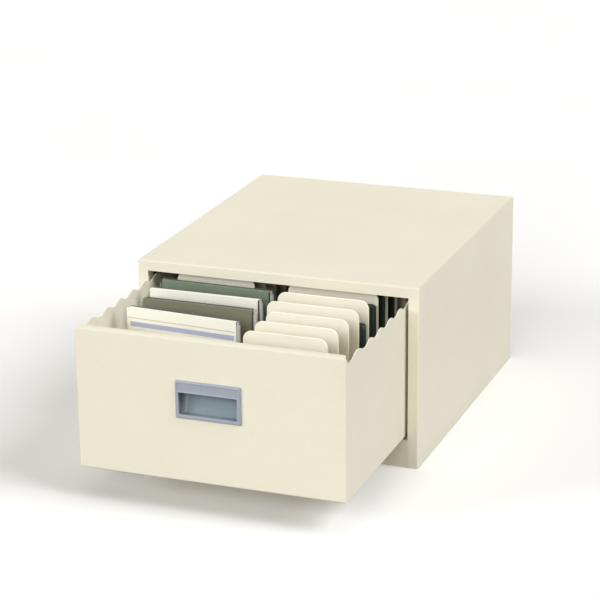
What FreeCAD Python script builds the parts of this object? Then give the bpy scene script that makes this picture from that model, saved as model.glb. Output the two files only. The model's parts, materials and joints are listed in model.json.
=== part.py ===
import FreeCAD, Part
import math
import os
import Sketcher
from FreeCAD import Placement, Rotation, Vector

# Desk-top steel media cabinet with one drawer.
# Millimetres, +Z up, +X to the right of someone facing the drawer, -Y towards that person.
# Origin: the middle of the cabinet's footprint, on the surface it stands on.
# The drawer is modelled pulled out by drawer_open, which is the rest pose.

doc = FreeCAD.newDocument("media_cabinet")
sheet = doc.addObject("Spreadsheet::Sheet", "Dimensions")
VAL = {}
_row = [1]


def dim(alias, value, note):
    """One driving dimension: note in column A, plain number in column B with an alias."""
    r = _row[0]
    sheet.set("A%d" % r, note)
    sheet.set("B%d" % r, "%.6g" % value)
    sheet.setAlias("B%d" % r, alias)
    VAL[alias] = float("%.6g" % value)
    _row[0] += 1


# cabinet
dim("cab_width", 309.0, "cabinet overall width")
dim("cab_depth", 355.0, "cabinet overall depth")
dim("cab_height", 195.0, "cabinet overall height")
dim("skin", 1.0, "sheet thickness of the casing")
dim("stile", 11.5, "width of the front frame at the sides and at the top")
dim("frame_return", 14.0, "how far the front frame is folded back")
dim("sole_return", 12.0, "inward fold along the foot of each side")
dim("edge_round", 2.2, "outside bend radius of the casing")
dim("front_round", 1.6, "outside bend radius round the front frame")
dim("kick_height", 29.5, "height of the front rail under the drawer")
dim("kick_setback", 1.0, "front rail behind the frame")
dim("back_setback", 2.0, "back panel in from the rear edges")
dim("back_return", 12.0, "forward flange of the back panel")
# drawer
dim("drawer_open", 182.0, "how far the drawer is out in the rest pose")
dim("front_width", 280.0, "drawer front width")
dim("front_bottom", 34.0, "drawer front lower edge above the table")
dim("front_top", 181.5, "drawer front upper edge above the table")
dim("front_depth", 8.5, "depth of the folded drawer front")
dim("front_lip", 10.0, "inward lip behind the drawer front")
dim("sheet_d", 1.2, "sheet thickness of the drawer")
dim("drawer_length", 338.0, "drawer, front face to rear face")
dim("hem_flange", 12.0, "inward fold at the foot of the drawer sides")
dim("wave_pitch", 30.5, "pitch of the waves along the drawer sides, twice that of the slot rows")
dim("wave_low", 173.0, "wave valleys above the table")
dim("wave_high", 177.0, "wave crests above the table")
dim("wave_first_high", 178.2, "first, longer crest")
# handle
dim("grip_width", 68.6, "handle bezel width")
dim("grip_height", 39.1, "handle bezel height")
dim("grip_middle", 119.85, "middle of the bezel above the table")
dim("grip_proud", 2.4, "bezel stands out of the drawer front")
dim("mouth_width", 60.8, "handle recess width at the face")
dim("mouth_low", 104.6, "recess lower edge above the table")
dim("mouth_high", 127.2, "recess upper edge above the table")
dim("cup_top", 135.7, "recess reaches this high behind the band")
dim("cup_back", 17.0, "recess shell reaches this far behind the drawer face, at its top")
dim("cup_foot", 7.4, "recess shell reaches this far behind the drawer face, at its foot")
dim("cup_wall", 1.4, "wall of the recess shell")
dim("cup_drop", 1.2, "recess floor lies this far below the mouth's lower edge")
# dividers and media
dim("plate_width", 87.0, "divider width")
dim("plate_extra", 10.9, "the rear right dividers reach this much further to the left")
dim("plate_thick", 2.0, "divider thickness")
dim("plate_top", 181.5, "divider upper edge above the table, level with the drawer front")
dim("plate_corner", 9.0, "divider corner radius")
dim("plate_right", 63.0, "middle of the right dividers, right of the cabinet's middle")
dim("plate_left", 72.0, "middle of the left dividers, left of the cabinet's middle")
dim("slot_pitch", 15.25, "pitch of the slot rows in the drawer floor")
dim("tab_width", 15.0, "divider tab width")
dim("tab_reach", 2.0, "divider tab below the drawer floor's upper face")
dim("tab_spread", 46.0, "distance between a divider's two tabs")
dim("slot_extra", 0.4, "slot wider than the tab, both ways")
dim("case_width", 125.0, "disc case width")
dim("case_height", 142.0, "disc case height")
dim("case_thick", 10.4, "disc case thickness")
dim("sleeve_width", 77.0, "dark sleeve width")
dim("sleeve_height", 133.0, "dark sleeve height")
dim("sleeve_low", 122.0, "height of the first dark sleeve, which is lower")
dim("sleeve_thick", 8.0, "dark sleeve thickness")
# running gear
dim("wheel_radius", 8.0, "roller radius")
dim("wheel_bore", 3.05, "roller bore radius")
dim("pin_radius", 3.0, "roller pin radius")
dim("tenon_radius", 2.5, "riveted end of a roller pin, radius")
dim("hole_radius", 2.55, "hole for the riveted end, radius")
dim("rail_gauge", 1.2, "sheet thickness of the rails")
dim("rail_axis", 49.0, "rear roller axis above the table")
dim("front_wheel_axis", 25.7, "front roller axis above the table")
dim("front_wheel_back", 29.0, "front roller axis behind the cabinet's face")
dim("rear_wheel_back", 325.0, "rear roller axis behind the drawer face")
dim("screw_shank", 1.95, "screw shank radius")
dim("screw_hole", 2.05, "screw hole radius")
dim("screw_head", 3.6, "screw head radius")
doc.recompute()

D = "Dimensions."
FY = "-Dimensions.cab_depth/2"  # the cabinet's front face
fy = -VAL["cab_depth"] / 2
OUT = "(-Dimensions.cab_depth/2-Dimensions.drawer_open)"  # the drawer's front face
out = fy - VAL["drawer_open"]

KEEP = []  # objects that become files


def full(text):
    """Aliases in an expression get the sheet's name."""
    res, word = "", ""
    for ch in text + " ":
        if ch.isalnum() or ch == "_" or ch == ".":
            word += ch
        else:
            res += (D + word) if word in VAL else word
            word = ""
            res += ch
    return res.strip()


def bind(obj, prop, text):
    obj.setExpression(prop, full(str(text)))


def block(name, x0, x1, y0, y1, z0, z1):
    """A box between two corners, each coordinate an expression of the sheet."""
    b = doc.addObject("Part::Box", name)
    bind(b, "Length", "(%s)-(%s)" % (x1, x0))
    bind(b, "Width", "(%s)-(%s)" % (y1, y0))
    bind(b, "Height", "(%s)-(%s)" % (z1, z0))
    bind(b, "Placement.Base.x", x0)
    bind(b, "Placement.Base.y", y0)
    bind(b, "Placement.Base.z", z0)
    return b


def rod(name, radius, x0, x1, y, z):
    """A cylinder along +X from x0 to x1."""
    c = doc.addObject("Part::Cylinder", name)
    c.Placement = Placement(Vector(0, 0, 0), Rotation(Vector(0, 1, 0), 90))
    bind(c, "Radius", radius)
    bind(c, "Height", "(%s)-(%s)" % (x1, x0))
    bind(c, "Placement.Base.x", x0)
    bind(c, "Placement.Base.y", y)
    bind(c, "Placement.Base.z", z)
    return c


def rod_y(name, radius, y0, y1, x, z):
    """A cylinder along +Y from y0 to y1."""
    c = doc.addObject("Part::Cylinder", name)
    c.Placement = Placement(Vector(0, 0, 0), Rotation(Vector(1, 0, 0), -90))
    bind(c, "Radius", radius)
    bind(c, "Height", "(%s)-(%s)" % (y1, y0))
    bind(c, "Placement.Base.x", x)
    bind(c, "Placement.Base.y", y0)
    bind(c, "Placement.Base.z", z)
    return c


def fuse(name, parts):
    f = doc.addObject("Part::MultiFuse", name)
    f.Shapes = parts
    f.Refine = True
    return f


def cut(name, base, tool):
    if isinstance(tool, (list, tuple)):
        tool = fuse(name + "_tools", list(tool)) if len(tool) > 1 else tool[0]
    c = doc.addObject("Part::Cut", name)
    c.Base = base
    c.Tool = tool
    c.Refine = True
    return c


def rounded(name, base, radius, pick):
    """A Part::Fillet on the edges that pick() accepts."""
    doc.recompute()
    f = doc.addObject("Part::Fillet", name)
    f.Base = base
    f.Edges = [
        (i + 1, radius, radius) for i, e in enumerate(base.Shape.Edges) if pick(e)
    ]
    if not f.Edges:
        raise RuntimeError("no edge to round on " + name)
    return f


def keep(obj, label):
    obj.Label = label
    KEEP.append((obj, label))
    return obj


def along(e, axis):
    if e.Curve.TypeId != "Part::GeomLine":
        return False
    d = e.Curve.Direction
    return abs(abs(getattr(d, axis)) - 1) < 1e-6


def at(e, **where):
    p = e.CenterOfMass
    return all(abs(getattr(p, k) - v) < 0.02 for k, v in where.items())


def plane(body, role):
    return next(f for f in body.Origin.OriginFeatures if f.Role == role)


def sketch_on(body, name, role):
    sk = body.newObject("Sketcher::SketchObject", name)
    sk.AttachmentSupport = [(plane(body, role), "")]
    sk.MapMode = "FlatFace"
    return sk


def polyline(sk, pts):
    """A closed outline of straight sides, joined corner to corner."""
    first = sk.GeometryCount
    n = len(pts)
    for i in range(n):
        a, b = pts[i], pts[(i + 1) % n]
        sk.addGeometry(Part.LineSegment(Vector(a[0], a[1], 0), Vector(b[0], b[1], 0)), False)
    for i in range(n):
        sk.addConstraint(
            Sketcher.Constraint("Coincident", first + i, 2, first + (i + 1) % n, 1)
        )
    return first


def driven(sk, index, text):
    sk.setExpression("Constraints[%d]" % index, full(text))


# --------------------------------------------------------------- casing
hw = "cab_width/2"
open_x = "(cab_width/2-stile)"
open_top = "(cab_height-stile)"
front = "(-cab_depth/2)"
rear = "(cab_depth/2)"

outer = block("wrap_outer", "-" + hw, hw, front, rear, 0, "cab_height")
outer_r = rounded(
    "wrap_bends",
    outer,
    VAL["edge_round"],
    lambda e: along(e, "y") and at(e, z=VAL["cab_height"]),
)
outer_f = rounded(
    "wrap_front_bends",
    outer_r,
    VAL["front_round"],
    lambda e: at(e, y=fy)
    and (along(e, "x") or along(e, "z") or e.Curve.TypeId == "Part::GeomCircle")
    and not at(e, z=0),
)
inner = block("wrap_hollow", "-%s+skin" % hw, "%s-skin" % hw, front + "+skin", rear + "+1", "-1", "cab_height-skin")
mouth = block("wrap_mouth", "-" + open_x, open_x, front + "-1", front + "+skin+1", "-1", open_top)
wrap0 = cut("wrap_folded", outer_f, [inner, mouth])
ret_l = block("return_left", "-%s-skin" % open_x, "-" + open_x, front, front + "+frame_return", 0, open_top + "+skin")
ret_r = block("return_right", open_x, open_x + "+skin", front, front + "+frame_return", 0, open_top + "+skin")
ret_t = block("return_top", "-" + open_x, open_x, front, front + "+frame_return", open_top, open_top + "+skin")
sole_l = block("sole_left", "-%s" % hw, "-%s+sole_return" % hw, front + "+frame_return+1", rear, 0, "skin")
sole_r = block("sole_right", "%s-sole_return" % hw, hw, front + "+frame_return+1", rear, 0, "skin")
wrap = fuse("wrap_whole", [wrap0, ret_l, ret_r, ret_t, sole_l, sole_r])
keep(wrap, "casing_wrap")

# front rail under the drawer: a channel folded from one strip
body = doc.addObject("PartDesign::Body", "KickRail")
sk = sketch_on(body, "KickSection", "YZ_Plane")
t = VAL["skin"]
y0 = fy + VAL["kick_setback"]
zt = VAL["kick_height"]
polyline(
    sk,
    [
        (y0, 0),
        (y0 + 13, 0),
        (y0 + 13, t),
        (y0 + t, t),
        (y0 + t, zt - t),
        (y0 + 13, zt - t),
        (y0 + 13, zt),
        (y0, zt),
    ],
)
pad = body.newObject("PartDesign::Pad", "KickPad")
pad.Profile = sk
pad.Midplane = True
bind(pad, "Length", "cab_width-2*stile")
doc.recompute()
fil = body.newObject("PartDesign::Fillet", "KickRound")
fil.Base = (
    pad,
    [
        "Edge%d" % (i + 1)
        for i, e in enumerate(pad.Shape.Edges)
        if along(e, "x") and at(e, y=y0) and e.CenterOfMass.z > 10
    ],
)
fil.Radius = 0.9
keep(body, "kick_rail")

# floor: one plate on the folds of the casing, narrower at the front, with its middle
# pressed down by one sheet thickness so that it is level with the folds' undersides
body = doc.addObject("PartDesign::Body", "FloorPanel")
sk = sketch_on(body, "FloorOutline", "XY_Plane")
ya, yb, yc = fy + 2.3, fy + 15.5, -fy - 3.0
wa, wb = VAL["cab_width"] / 2 - VAL["stile"] - 0.6, VAL["cab_width"] / 2 - VAL["skin"]
polyline(sk, [(-wa, ya), (wa, ya), (wa, yb), (wb, yb), (wb, yc), (-wb, yc), (-wb, yb), (-wa, yb)])
sk.AttachmentOffset = Placement(Vector(0, 0, VAL["skin"]), Rotation())
pad = body.newObject("PartDesign::Pad", "FloorPad")
pad.Profile = sk
bind(pad, "Length", "skin")
sk2 = sketch_on(body, "FloorMiddle", "XY_Plane")
polyline(sk2, [(-139.5, fy + 17.5), (139.5, fy + 17.5), (139.5, -fy - 6.0), (-139.5, -fy - 6.0)])
doc.recompute()
before = pad.Shape.Volume
pocket = body.newObject("PartDesign::Pocket", "FloorDrop")
pocket.Profile = sk2
pocket.Type = 1
pocket.Midplane = True
doc.recompute()
if not pocket.Shape.Volume < before - 1000:
    raise RuntimeError("the middle of the floor was not cut")
sk3 = sketch_on(body, "FloorTray", "XY_Plane")
polyline(sk3, [(-141, fy + 16.0), (141, fy + 16.0), (141, -fy - 4.5), (-141, -fy - 4.5)])
pad2 = body.newObject("PartDesign::Pad", "FloorTrayPad")
pad2.Profile = sk3
bind(pad2, "Length", "skin")
keep(body, "floor_panel")

# back: a shallow pan with its flange forwards, set in from the rear edges
back_o = block("back_outer", "-%s+skin" % hw, "%s-skin" % hw, rear + "-back_setback-skin-back_return", rear + "-back_setback", "2*skin", "cab_height-skin")
back_i = block("back_hollow", "-%s+2*skin" % hw, "%s-2*skin" % hw, rear + "-back_setback-skin-back_return-1", rear + "-back_setback-skin", "3*skin", "cab_height-2*skin")
keep(cut("back_pan", back_o, back_i), "back_panel")

# --------------------------------------------------------------- rails in the casing
tip = "(cab_width/2-skin-11.5)"  # inner edge of the rail flanges
web_out = "(cab_width/2-skin)"
web_in = "(cab_width/2-skin-rail_gauge)"
rail_front = "(-cab_depth/2+15)"
rail_rear = "(cab_depth/2-back_setback-skin-back_return-2)"
lower = "(rail_axis-wheel_radius-0.3)"
upper = "(rail_axis+wheel_radius+0.5)"
for side, sign in (("left", -1), ("right", 1)):

    def span(a, b):
        return (a, b) if sign > 0 else ("-(%s)" % b, "-(%s)" % a)

    web = block("rail_web_" + side, *span(web_in, web_out), rail_front, rail_rear, lower + "-rail_gauge", upper + "+rail_gauge")
    low = block("rail_low_" + side, *span(tip, web_out), rail_front, rail_rear, lower + "-rail_gauge", lower)
    top = block("rail_top_" + side, *span(tip, web_out), rail_front, rail_rear, upper, upper + "+rail_gauge")
    drop = block("rail_drop_" + side, *span(web_in, web_out), front + "+17", front + "+41", "12", lower)
    stop = block("rail_stop_" + side, *span(tip + "+2", web_out), front + "+60.2", front + "+60.2+rail_gauge", lower + "-0.5", upper + "+0.5")
    whole = fuse("rail_whole_" + side, [web, low, top, drop, stop])
    hole = rod("rail_hole_" + side, "hole_radius", *span(web_in + "-2", web_out + "+2"), front + "+front_wheel_back", "front_wheel_axis")
    keep(cut("rail_" + side, whole, hole), "cabinet_rail_" + side)

    # front roller, under the foot of the drawer side, and its pin in the rail
    fyw, fzw = front + "+front_wheel_back", "front_wheel_axis"
    wheel = rod("fwheel_" + side, "wheel_radius", *span("128.5", "138"), fyw, fzw)
    wheel_r = rounded("fwheel_round_" + side, wheel, 0.7, lambda e: e.Curve.TypeId == "Part::GeomCircle")
    bore = rod("fwheel_bore_" + side, "wheel_bore", *span("127", "139.5"), fyw, fzw)
    keep(cut("fwheel_cut_" + side, wheel_r, bore), "front_roller_" + side)
    pin = fuse(
        "fpin_" + side,
        [
            rod("fpin_head_" + side, "4.5", *span("126.6", "128.1"), fyw, fzw),
            rod("fpin_shank_" + side, "pin_radius", *span("127.5", web_in), fyw, fzw),
            rod("fpin_collar_" + side, "4.5", *span("138.6", "140.2"), fyw, fzw),
            rod("fpin_tenon_" + side, "tenon_radius", *span(web_in + "-1", web_out), fyw, fzw),
        ],
    )
    keep(pin, "front_roller_pin_" + side)

    # rear roller, inside the rail, and its pin through the drawer side
    ryw, rzw = OUT.replace("Dimensions.", "") + "+rear_wheel_back", "rail_axis"
    wheel = rod("rwheel_" + side, "wheel_radius", *span("141.3", "149.9"), ryw, rzw)
    wheel_r = rounded("rwheel_round_" + side, wheel, 0.7, lambda e: e.Curve.TypeId == "Part::GeomCircle")
    bore = rod("rwheel_bore_" + side, "wheel_bore", *span("141", "150.5"), ryw, rzw)
    keep(cut("rwheel_cut_" + side, wheel_r, bore), "rear_roller_" + side)
    pin = fuse(
        "rpin_" + side,
        [
            rod("rpin_head_" + side, "4.5", *span("150.2", "151.3"), ryw, rzw),
            rod("rpin_shank_" + side, "pin_radius", *span("140.4", "151"), ryw, rzw),
            rod("rpin_collar_" + side, "4.5", *span("140", "141"), ryw, rzw),
            rod("rpin_tenon_" + side, "tenon_radius", *span("138", "140.4"), ryw, rzw),
            rod("rpin_rivet_" + side, "4.2", *span("137.5", "138.8"), ryw, rzw),
        ],
    )
    keep(pin, "rear_roller_pin_" + side)

    # rubber buffer that the rear roller meets when the drawer is shut
    buf = block("buffer_" + side, *span("142.8", web_in), rail_rear + "-4.4", rail_rear, lower, upper)
    buf_r = rounded("buffer_round_" + side, buf, 1.0, lambda e: along(e, "x") and e.CenterOfMass.y < -fy - 20)
    keep(buf_r, "rear_buffer_" + side)

# --------------------------------------------------------------- drawer front
dfw = "front_width/2"
o = "(-cab_depth/2-drawer_open)"
pan_o = block("pan_outer", "-" + dfw, dfw, o, o + "+front_depth", "front_bottom", "front_top")
pan_r = rounded(
    "pan_bends",
    pan_o,
    1.8,
    lambda e: at(e, y=out) and (along(e, "x") or along(e, "z")),
)
pan_i = block("pan_hollow", "-%s+sheet_d" % dfw, "%s-sheet_d" % dfw, o + "+sheet_d", o + "+front_depth+1", "front_bottom+sheet_d", "front_top-sheet_d")
pan_c = cut("pan_folded", pan_r, pan_i)
lips = []
for side, sign in (("left", -1), ("right", 1)):
    a, b = "(%s-front_lip)" % dfw, dfw
    xs = (a, b) if sign > 0 else ("-" + b, "-" + a)
    lips.append(block("pan_lip_" + side, *xs, o + "+front_depth-sheet_d", o + "+front_depth", "front_bottom+6", "front_top-14"))
pan_l = fuse("pan_with_lips", [pan_c] + lips)
# the cup's opening, the four screw holes and the mitred upper corners of the fold
tools = [
    block("pan_window", "-mouth_width/2-cup_wall-0.2", "mouth_width/2+cup_wall+0.2", o + "-1", o + "+front_depth+1", "mouth_low-cup_drop-cup_wall-0.2", "cup_top+cup_wall+0.2"),
]
for i, (sx, z) in enumerate(((-1, 52), (1, 52), (-1, 158), (1, 158))):
    tools.append(rod_y("pan_hole_%d" % i, "screw_hole", o + "+front_depth-3", o + "+front_depth+2", "%d*(%s-5.4)" % (sx, dfw), z))
for side, sign in (("left", -1), ("right", 1)):
    w = doc.addObject("Part::Wedge", "pan_mitre_" + side)
    # a wedge along X that takes the side fold's top corner away, from the face down to its rear edge
    w.Xmin, w.Xmax = 0, 10.2
    w.Ymin, w.Ymax = 0, 8.71
    w.Zmin, w.Zmax = 0, 4.0
    w.X2min, w.X2max = 10.2, 10.2
    w.Z2min, w.Z2max = 0, 4.0
    tools.append(w)
    # local +X runs up, local +Y forwards from the fold's rear edge, local +Z to the right
    w.Placement = Placement(
        Vector((VAL["front_width"] / 2 - 1.3) if sign > 0 else (-VAL["front_width"] / 2 - 2.7), out + VAL["front_depth"] + 0.6, VAL["front_top"] - 9.6),
        Rotation(Vector(0, 0, 1), Vector(0, -1, 0), Vector(1, 0, 0), "XYZ"),
    )
    # and the end of the top fold, cut back slantwise from the face
    m = doc.addObject("Part::Box", "pan_fold_end_" + side)
    m.Length, m.Width, m.Height = 17.0, 12.0, 3.2
    base = Vector(VAL["front_width"] / 2 - 6.7, out + 11.2, VAL["front_top"] - 1.7) if sign > 0 else Vector(-VAL["front_width"] / 2 - 5.3, out - 0.8, VAL["front_top"] - 1.7)
    m.Placement = Placement(base, Rotation(Vector(0, 0, 1), -45 * sign))
    tools.append(m)
drawer_front = cut("pan_finished", pan_l, tools)
keep(drawer_front, "drawer_front")

# --------------------------------------------------------------- drawer sides
SIDE_Y0 = VAL["front_depth"]  # behind the drawer face
SIDE_Y1 = VAL["drawer_length"]


def wave(y_start, y_end, z_base):
    """Outline, in (Y, Z), of a wall with a waved upper edge of tangent arcs."""
    low, high, first = VAL["wave_low"], VAL["wave_high"], VAL["wave_first_high"]
    p = VAL["wave_pitch"]
    edges = []
    nodes = [(out + 14.0, low + 0.2), (out + 35.6, first), (out + 58.5, low)]
    y = out + 58.5
    while y + p < y_end - 2:
        nodes += [(y + p / 2, high), (y + p, low)]
        y += p
    pts = [Vector(y_start, low + 0.2, 0), Vector(nodes[0][0], nodes[0][1], 0)]
    edges.append(("line", pts[0], pts[1]))
    for (ya, za), (yb, zb) in zip(nodes, nodes[1:]):
        half, rise = yb - ya, zb - za
        mid = Vector((ya + yb) / 2, (za + zb) / 2, 0)
        theta = 2 * math.atan2(abs(rise), half)
        r = (half / 2) / math.sin(theta)
        s = 1 if rise > 0 else -1
        # level at both ends, so each half wave is two arcs that meet at its middle
        c1 = Vector(ya, za + s * r, 0)
        c2 = Vector(yb, zb - s * r, 0)
        a1 = c1 + Vector(r * math.sin(theta / 2), -s * r * math.cos(theta / 2), 0)
        a2 = c2 + Vector(-r * math.sin(theta / 2), s * r * math.cos(theta / 2), 0)
        edges.append(("arc", Vector(ya, za, 0), a1, mid))
        edges.append(("arc", mid, a2, Vector(yb, zb, 0)))
    last = nodes[-1]
    edges.append(("line", Vector(last[0], last[1], 0), Vector(y_end, last[1], 0)))
    edges.append(("line", Vector(y_end, last[1], 0), Vector(y_end, z_base, 0)))
    edges.append(("line", Vector(y_end, z_base, 0), Vector(y_start, z_base, 0)))
    edges.append(("line", Vector(y_start, z_base, 0), pts[0]))
    return edges


def draw(sk, edges):
    for e in edges:
        if e[0] == "line":
            sk.addGeometry(Part.LineSegment(e[1], e[2]), False)
        else:
            sk.addGeometry(Part.Arc(e[1], e[2], e[3]), False)


zf = "(front_bottom+sheet_d)"
for side, sign in (("left", -1), ("right", 1)):
    body = doc.addObject("PartDesign::Body", "Side_" + side)
    sk = sketch_on(body, "SideOutline_" + side, "YZ_Plane")
    draw(sk, wave(out + SIDE_Y0, out + SIDE_Y1, VAL["front_bottom"]))
    pad = body.newObject("PartDesign::Pad", "SidePad_" + side)
    pad.Profile = sk
    bind(pad, "Length", "sheet_d")
    # the fold along the foot, turned in under the drawer floor
    sk2 = sketch_on(body, "FootOutline_" + side, "XY_Plane")
    fa, fb = (0.0, VAL["hem_flange"]) if sign < 0 else (VAL["sheet_d"] - VAL["hem_flange"], VAL["sheet_d"])
    polyline(sk2, [(fa, out + SIDE_Y0), (fb, out + SIDE_Y0), (fb, out + SIDE_Y1), (fa, out + SIDE_Y1)])
    sk2.AttachmentOffset = Placement(Vector(0, 0, VAL["front_bottom"]), Rotation())
    pad2 = body.newObject("PartDesign::Pad", "FootPad_" + side)
    pad2.Profile = sk2
    bind(pad2, "Length", "sheet_d")
    # hole for the rear roller's pin
    sk3 = sketch_on(body, "PinHole_" + side, "YZ_Plane")
    sk3.addGeometry(Part.Circle(Vector(out + VAL["rear_wheel_back"], VAL["rail_axis"], 0), Vector(0, 0, 1), VAL["hole_radius"]), False)
    k = sk3.addConstraint(Sketcher.Constraint("Radius", 0, VAL["hole_radius"]))
    driven(sk3, k, "hole_radius")
    doc.recompute()
    before = pad2.Shape.Volume
    pocket = body.newObject("PartDesign::Pocket", "PinPocket_" + side)
    pocket.Profile = sk3
    pocket.Midplane = True
    pocket.Length = 4.0
    doc.recompute()
    if not pocket.Shape.Volume < before - 10:
        raise RuntimeError("the pin hole was not cut in drawer side " + side)
    bind(body, "Placement.Base.x", "-front_width/2" if sign < 0 else "front_width/2-sheet_d")
    keep(body, "drawer_side_" + side)

# --------------------------------------------------------------- drawer floor, ends
SLOTS = 17
slot_y0 = out + 43.25 + VAL["plate_thick"] / 2  # middle of the first slot
body = doc.addObject("PartDesign::Body", "DrawerFloor")
sk = sketch_on(body, "DrawerFloorOutline", "XY_Plane")
w = VAL["front_width"] / 2 - VAL["sheet_d"]
polyline(sk, [(-w, out + VAL["front_depth"]), (w, out + VAL["front_depth"]), (w, out + VAL["drawer_length"]), (-w, out + VAL["drawer_length"])])
pad = body.newObject("PartDesign::Pad", "DrawerFloorPad")
pad.Profile = sk
bind(pad, "Length", "sheet_d")
sk2 = sketch_on(body, "FirstSlots", "XY_Plane")
sl = VAL["tab_width"] / 2 + VAL["slot_extra"] / 2
st = VAL["plate_thick"] / 2 + VAL["slot_extra"] / 2
for c in (-VAL["plate_left"], VAL["plate_right"]):
    for s in (-1, 1):
        x = c + s * VAL["tab_spread"] / 2
        polyline(sk2, [(x - sl, slot_y0 - st), (x + sl, slot_y0 - st), (x + sl, slot_y0 + st), (x - sl, slot_y0 + st)])
doc.recompute()
before = pad.Shape.Volume
pocket = body.newObject("PartDesign::Pocket", "SlotPocket")
pocket.Profile = sk2
pocket.Type = 1
pocket.Midplane = True
doc.recompute()
pattern = body.newObject("PartDesign::LinearPattern", "SlotRows")
pattern.Originals = [pocket]
pattern.Direction = (sk2, ["V_Axis"])
bind(pattern, "Length", "slot_pitch*%d" % (SLOTS - 1))
pattern.Occurrences = SLOTS
body.Tip = pattern
doc.recompute()
wanted = 4 * SLOTS * 4 * sl * st * VAL["sheet_d"]
if abs(before - pattern.Shape.Volume - wanted) > 1:
    raise RuntimeError("slots: %.1f cut, %.1f wanted" % (before - pattern.Shape.Volume, wanted))
bind(body, "Placement.Base.z", zf)
keep(body, "drawer_floor")

ztop_in = "(front_top-9.3)"
inner_front = block("inner_sheet", "-%s+sheet_d" % dfw, "%s-sheet_d" % dfw, o + "+front_depth", o + "+front_depth+sheet_d", zf + "+sheet_d", ztop_in)
tools = [block("inner_window", "-mouth_width/2-cup_wall-0.4", "mouth_width/2+cup_wall+0.4", o + "+front_depth-1", o + "+front_depth+3", "mouth_low-cup_drop-cup_wall-0.4", "cup_top+cup_wall+0.4")]
for i, (sx, z) in enumerate(((-1, 52), (1, 52), (-1, 158), (1, 158))):
    tools.append(rod_y("inner_hole_%d" % i, "screw_hole", o + "+front_depth-1", o + "+front_depth+3", "%d*(%s-5.4)" % (sx, dfw), z))
keep(cut("inner_cut", inner_front, tools), "drawer_inner_front")

rear_face = o + "+drawer_length"
db = block("dback_sheet", "-%s+sheet_d" % dfw, "%s-sheet_d" % dfw, rear_face + "-sheet_d", rear_face, zf + "+sheet_d", "wave_low")
dh = block("dback_hem", "-%s+sheet_d" % dfw, "%s-sheet_d" % dfw, rear_face + "-9", rear_face, "wave_low-sheet_d", "wave_low")
keep(fuse("dback_folded", [db, dh]), "drawer_back")

# --------------------------------------------------------------- handle
bez = block("bezel", "-grip_width/2", "grip_width/2", o + "-grip_proud", o, "grip_middle-grip_height/2", "grip_middle+grip_height/2")
bez_r = rounded(
    "bezel_round",
    bez,
    1.9,
    lambda e: abs(e.CenterOfMass.y - (out - VAL["grip_proud"])) < 0.02,
)


def slanted(name, width, low, high, back_low, back_high, face):
    """A solid across the middle with a slanting back: low and high in Z, face and backs behind the drawer face."""
    body = doc.addObject("PartDesign::Body", name)
    sk = sketch_on(body, name + "_section", "YZ_Plane")
    polyline(sk, [(out + face, low), (out + back_low, low), (out + back_high, high), (out + face, high)])
    pad = body.newObject("PartDesign::Pad", name + "_pad")
    pad.Profile = sk
    pad.Midplane = True
    bind(pad, "Length", width)
    doc.recompute()
    return body


wall_c, foot_c, back_c = VAL["cup_wall"], VAL["cup_foot"], VAL["cup_back"]
low_c, high_c = VAL["mouth_low"] - VAL["cup_drop"], VAL["cup_top"]
shell = slanted("cup_shell", "mouth_width+2*cup_wall", low_c - wall_c, high_c + wall_c, foot_c, back_c, -0.6)
shell_r = rounded("cup_shell_round", shell, 6.4, lambda e: abs(e.CenterOfMass.x) > 20 and e.CenterOfMass.y > out + 10)
cup = fuse("cup_solid", [bez_r, shell_r])
way = block("cup_mouth", "-mouth_width/2", "mouth_width/2", o + "-grip_proud-1", o + "+4", "mouth_low", "mouth_high")
room = slanted("cup_room", "mouth_width", low_c, high_c, foot_c - wall_c, back_c - wall_c, 1.6)
room_r = rounded("cup_room_round", room, 5.0, lambda e: abs(e.CenterOfMass.x) > 20 and e.CenterOfMass.y > out + 10)
cup_c = cut("cup_hollow", cup, [way, room_r])
keep(cup_c, "handle_cup")

ro = block("retainer_plate", "-37.5", "37.5", o + "+front_depth+sheet_d", o + "+front_depth+2*sheet_d", "mouth_low-6.2", "cup_top+7.6")
ri = block("retainer_window", "-mouth_width/2-cup_wall-0.3", "mouth_width/2+cup_wall+0.3", o + "+front_depth", o + "+front_depth+4", "mouth_low-cup_drop-cup_wall-0.3", "cup_top+cup_wall+0.3")
rr = rounded("retainer_round", ro, 3.0, lambda e: along(e, "y"))
keep(cut("retainer", rr, ri), "handle_retainer")

screws = []
for i, (sx, z) in enumerate(((-1, 52), (1, 52), (-1, 158), (1, 158))):
    x = "%d*(%s-5.4)" % (sx, dfw)
    head = rod_y("screw_head_%d" % i, "screw_head", o + "+front_depth+sheet_d", o + "+front_depth+sheet_d+2.2", x, z)
    head_r = rounded("screw_dome_%d" % i, head, 0.9, lambda e: e.Curve.TypeId == "Part::GeomCircle" and e.CenterOfMass.y > out + 10.5)
    shank = rod_y("screw_shank_%d" % i, "screw_shank", o + "+front_depth-4.6", o + "+front_depth+sheet_d+0.2", x, z)
    body_s = fuse("screw_whole_%d" % i, [head_r, shank])
    slot_a = block("screw_slot_a%d" % i, x + "-2.2", x + "+2.2", o + "+front_depth+sheet_d+1.2", o + "+front_depth+sheet_d+3", "%d-0.35" % z, "%d+0.35" % z)
    slot_b = block("screw_slot_b%d" % i, x + "-0.35", x + "+0.35", o + "+front_depth+sheet_d+1.2", o + "+front_depth+sheet_d+3", "%d-2.2" % z, "%d+2.2" % z)
    screws.append(cut("screw_%d" % i, body_s, [slot_a, slot_b]))
comp = doc.addObject("Part::Compound", "screws")
comp.Links = screws
keep(comp, "drawer_front_screws")

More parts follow.
